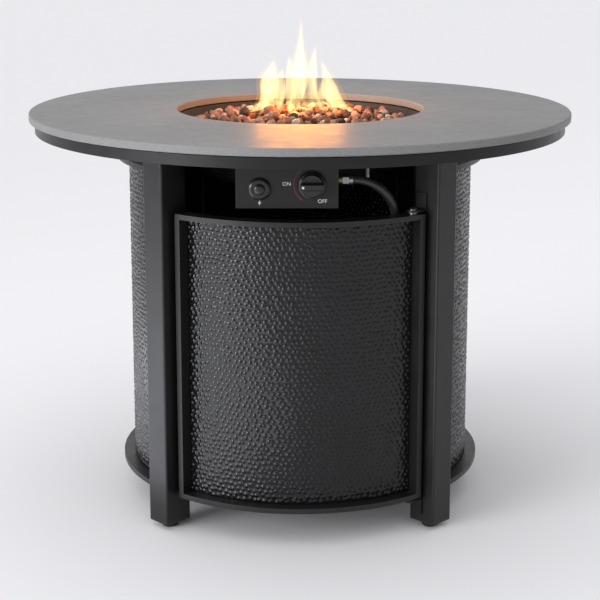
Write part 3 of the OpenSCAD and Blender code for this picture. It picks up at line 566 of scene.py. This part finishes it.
def heat_arc(start=128, end=240, radius=26.5 * MM, thin=0.9 * MM, thick=2.4 * MM, steps=28):
    """A wedge-shaped arc beside the knob, wider towards more heat."""
    turns = [(i / steps, start + (end - start) * i / steps) for i in range(steps + 1)]
    outside = [dial_point(radius + (thin + (thick - thin) * t) / 2, a) for t, a in turns]
    inside = [dial_point(radius - (thin + (thick - thin) * t) / 2, a) for t, a in turns]
    flat_shape("heat_arc", outside + inside[::-1], panel_face, "root", "red_ink")


def printed_word(word, x, z, tall=WORD_TALL):
    curve = bpy.data.curves.new("word_" + word.lower(), "FONT")
    curve.body = word
    curve.size = tall
    curve.extrude = INK / 2
    curve.align_x = "CENTER"
    curve.align_y = "CENTER"
    shaped = bpy.data.objects.new("word", curve)
    bpy.context.scene.collection.objects.link(shaped)
    bpy.context.view_layer.update()
    mesh = bpy.data.meshes.new_from_object(shaped.evaluated_get(bpy.context.evaluated_depsgraph_get()))
    bpy.data.objects.remove(shaped)
    upright = Matrix.Rotation(math.pi / 2, 4, "X")
    mesh.transform(Matrix.Translation((x, panel_face - INK / 2, z)) @ upright)
    add_piece("word_" + word.lower(), mesh, "root", "panel_paint", "white_ink", smooth=False)


def spark_sign(x, z, size=9 * MM):
    outline = [(0.10, 0.5), (-0.28, -0.06), (-0.02, -0.06), (-0.12, -0.5), (0.28, 0.10), (0.02, 0.10)]
    corners = [(x + size * u, z + size * v) for u, v in outline]
    flat_shape("spark_sign", corners, panel_face, "root", "white_ink")


def knob_dot(radius=1.9 * MM, inset=5.1 * MM, steps=20):
    x, z = knob_low.x + inset + radius, knob_axis.z
    turns = [math.tau * i / steps for i in range(steps)]
    outline = [(x + radius * math.cos(a), z + radius * math.sin(a)) for a in turns]
    flat_shape("knob_dot", outline, knob_low.y, "knob", "white_ink")


heat_arc()
printed_word("ON", knob_axis.x - 37 * MM, knob_axis.z + 1 * MM)
printed_word("OFF", *dial_point(29 * MM, 302))
spark_sign(igniter_axis.x, igniter_axis.z - 21 * MM)
knob_dot()


# Stage: floor, flame, lights and camera
def stage_material(name):
    made = bpy.data.materials.new(name)
    made.use_nodes = True
    made.node_tree.nodes.clear()
    return made, made.node_tree.nodes, made.node_tree.links


def studio_floor(colour=(0.84, 0.84, 0.85), reach=30.0):
    mesh = bpy.data.meshes.new("studio_floor")
    corners = [(x * reach, y * reach, 0) for x, y in ((-1, -1), (1, -1), (1, 1), (-1, 1))]
    mesh.from_pydata(corners, [], [(0, 1, 2, 3)])
    made, parts, links = stage_material("studio_floor")
    matte = parts.new("ShaderNodeBsdfDiffuse")
    matte.inputs["Color"].default_value = (*colour, 1)
    links.new(matte.outputs[0], parts.new("ShaderNodeOutputMaterial").inputs["Surface"])
    mesh.materials.append(made)
    floor = bpy.data.objects.new("studio_floor", mesh)
    bpy.context.scene.collection.objects.link(floor)


def fire_material(name, colour, glow, soak=8):
    """A glowing gas that lets red light through and holds blue light back."""
    made, parts, links = stage_material(name)
    shine = parts.new("ShaderNodeEmission")
    shine.inputs["Color"].default_value = (*colour, 1)
    shine.inputs["Strength"].default_value = glow
    dim = parts.new("ShaderNodeVolumeAbsorption")
    dim.inputs["Color"].default_value = (1.0, 0.80, 0.25, 1)
    dim.inputs["Density"].default_value = soak
    both = parts.new("ShaderNodeAddShader")
    links.new(shine.outputs[0], both.inputs[0])
    links.new(dim.outputs[0], both.inputs[1])
    links.new(both.outputs[0], parts.new("ShaderNodeOutputMaterial").inputs["Volume"])
    return made


# Tongues of flame: depth y, then stations (x, z, half width) from foot to tip, in millimetres
TONGUES = [
    (6, [(-7, 622, 3), (-3, 646, 10), (0, 674, 16), (0, 700, 15), (0, 722, 10),
         (1, 742, 6), (2, 788, 0.2)]),
    (10, [(17, 622, 3), (21, 650, 9), (20, 688, 10), (22, 714, 6), (26, 738, 0.2)]),
    (0, [(-18, 624, 3), (-17, 655, 9), (-15, 694, 8), (-18, 722, 0.2)]),
    (2, [(-77, 622, 5), (-62, 631, 13), (-51, 650, 18), (-49, 674, 19), (-47, 692, 11), (-41, 714, 0.2)]),
    (-6, [(-33, 622, 4), (-32, 648, 10), (-31, 678, 8), (-28, 699, 0.2)]),
    (2, [(88, 621, 4), (68, 631, 14), (52, 648, 18), (47, 668, 15), (42, 688, 8), (33, 714, 0.2)]),
    (-8, [(36, 620, 3), (33, 640, 8), (34, 662, 6), (37, 684, 0.2)]),
    (-22, [(6, 618, 3), (7, 638, 5), (5, 662, 5), (7, 694, 0.2)]),
    (-18, [(-16, 619, 3), (-13, 640, 6), (-9, 660, 5), (-8, 688, 0.2)]),
    (-20, [(58, 616, 2), (53, 628, 5), (46, 640, 6), (42, 660, 0.2)]),
    (-20, [(-50, 617, 2), (-46, 632, 6), (-40, 648, 6), (-38, 670, 0.2)]),
    (-14, [(-44, 614, 2), (-36, 630, 4), (-27, 652, 5), (-22, 678, 4), (-21, 704, 0.2)]),
    (-14, [(46, 613, 2), (36, 629, 4), (27, 650, 5), (22, 676, 4), (22, 702, 0.2)]),
    (-16, [(70, 614, 2), (61, 625, 4), (51, 641, 6), (46, 664, 5), (44, 690, 0.2)]),
    (-16, [(-68, 615, 2), (-61, 627, 4), (-55, 645, 6), (-51, 668, 5), (-49, 692, 0.2)]),
    (-28, [(-22, 612, 2), (-17, 630, 3), (-13, 655, 3), (-12, 682, 0.2)]),
    (-28, [(18, 612, 2), (14, 632, 3), (12, 655, 3), (13, 680, 0.2)]),
]
TONGUE_RINGS = 30
TONGUE_SIDES = 14


def station(points, t):
    """Place and half width at a share of the way along a tongue, on a smooth line."""
    at = t * (len(points) - 1)
    i = min(int(at), len(points) - 2)
    u = at - i
    before, here = points[max(i - 1, 0)], points[i]
    after, beyond = points[i + 1], points[min(i + 2, len(points) - 1)]
    curve = []
    for a, b, c, d in zip(before, here, after, beyond):
        curve.append(b + 0.5 * u * (c - a + u * (2 * a - 5 * b + 4 * c - d + u * (3 * (b - c) + d - a))))
    return curve[0], curve[1], max(curve[2], 0.1)


def tongue(number, share, finish):
    """A closed tongue of flame; its share makes it slimmer and shorter."""
    depth, points = TONGUES[number]
    corners = []
    for ring in range(TONGUE_RINGS + 1):
        x, z, wide = station(points, ring / TONGUE_RINGS)
        z = points[0][1] + (z - points[0][1]) * min(share, 1) ** 0.35
        for side in range(TONGUE_SIDES):
            a = math.tau * side / TONGUE_SIDES
            r = share * wide * (1 + 0.10 * math.sin(2 * a + ring / 5 + number))
            corners.append(((x + r * math.cos(a)) * MM, (depth + 0.7 * r * math.sin(a)) * MM, z * MM))
    faces = []
    for ring in range(TONGUE_RINGS):
        for side in range(TONGUE_SIDES):
            a = ring * TONGUE_SIDES + side
            b = ring * TONGUE_SIDES + (side + 1) % TONGUE_SIDES
            faces.append((a, b, b + TONGUE_SIDES, a + TONGUE_SIDES))
    faces.append(tuple(range(TONGUE_SIDES - 1, -1, -1)))
    faces.append(tuple(range(TONGUE_RINGS * TONGUE_SIDES, (TONGUE_RINGS + 1) * TONGUE_SIDES)))
    mesh = bpy.data.meshes.new(finish.name)
    mesh.from_pydata(corners, [], faces)
    mesh.polygons.foreach_set("use_smooth", [True] * len(faces))
    mesh.materials.append(finish)
    flame = bpy.data.objects.new(f"{finish.name}_{number}", mesh)
    bpy.context.scene.collection.objects.link(flame)
    flame.visible_diffuse = False
    flame.visible_shadow = False
    flame.visible_glossy = share > 1


def flames():
    skirt = fire_material("flame_skirt", (1.0, 0.47, 0.09), glow=8)
    core = fire_material("flame_core", (1.0, 0.83, 0.40), glow=54)
    for number in range(len(TONGUES)):
        tongue(number, 1.15, skirt)
        tongue(number, 0.80, core)


def lamp(name, kind, place, aim, power, size, colour):
    data = bpy.data.lights.new(name, kind)
    data.energy = power
    data.color = colour
    if kind == "AREA":
        data.shape = "RECTANGLE"
        data.size, data.size_y = size
    else:
        data.shadow_soft_size = size
    made = bpy.data.objects.new(name, data)
    bpy.context.scene.collection.objects.link(made)
    made.location = place
    made.rotation_euler = (Vector(aim) - Vector(place)).to_track_quat("-Z", "Y").to_euler()
    return made


def studio_world(low=0.30, high=1.30, start=-0.3, brightest=(-0.36, 0.0, 0.93)):
    """A soft sky that grows brighter towards one side."""
    world = bpy.data.worlds.new("studio")
    bpy.context.scene.world = world
    world.use_nodes = True
    parts, links = world.node_tree.nodes, world.node_tree.links
    way = parts.new("ShaderNodeTexCoord")
    near = parts.new("ShaderNodeVectorMath")
    near.operation = "DOT_PRODUCT"
    near.inputs[1].default_value = brightest
    rise = parts.new("ShaderNodeMapRange")
    rise.inputs["From Min"].default_value = start
    rise.inputs["To Min"].default_value = low
    rise.inputs["To Max"].default_value = high
    links.new(way.outputs["Generated"], near.inputs[0])
    links.new(near.outputs["Value"], rise.inputs["Value"])
    links.new(rise.outputs["Result"], parts["Background"].inputs["Strength"])
    parts["Background"].inputs["Color"].default_value = (0.975, 0.975, 0.997, 1)


SOFTBOX = (0.985, 0.987, 1.0)
CARD = (0.92, 0.94, 1.0)
FIRE_GLOW = (1.0, 0.36, 0.10)
FIRE_SHINE = (1.0, 0.33, 0.02)


def studio_light():
    studio_world()
    key = lamp("left_key", "AREA", (-4.1, -3.2, 1.55), (0.3, -0.2, 0.95), 34, (3.5, 2.3), SOFTBOX)
    key.data.spread = math.radians(60)
    glow = lamp("flame_glow", "POINT", (0, 0, 0.662), (0, 0, 0), 3.2, 0.06, FIRE_GLOW)
    glow.visible_glossy = False
    shine = lamp("flame_shine", "POINT", (0, 0, 0.668), (0, 0, 0), 2.4, 0.075, FIRE_SHINE)
    shine.visible_diffuse = False
    card = lamp("left_card", "AREA", (-1.25, -0.62, 0.002), (-1.25, -0.62, 1), 22, (1.7, 1.9), CARD)
    card.rotation_euler.z = math.radians(-60)
    card.visible_diffuse = False


def photo_camera(place=(0, -2.4153, 0.9417), dip=11.27, lens=90.25, shift=-0.15):
    data = bpy.data.cameras.new("photo_camera")
    data.lens = lens
    data.sensor_width = 36
    data.shift_y = shift
    camera = bpy.data.objects.new("photo_camera", data)
    bpy.context.scene.collection.objects.link(camera)
    camera.location = place
    camera.rotation_euler = (math.radians(90 - dip), 0, 0)
    bpy.context.scene.camera = camera


studio_floor()
flames()
studio_light()
photo_camera()
bpy.context.scene.view_settings.view_transform = "Standard"
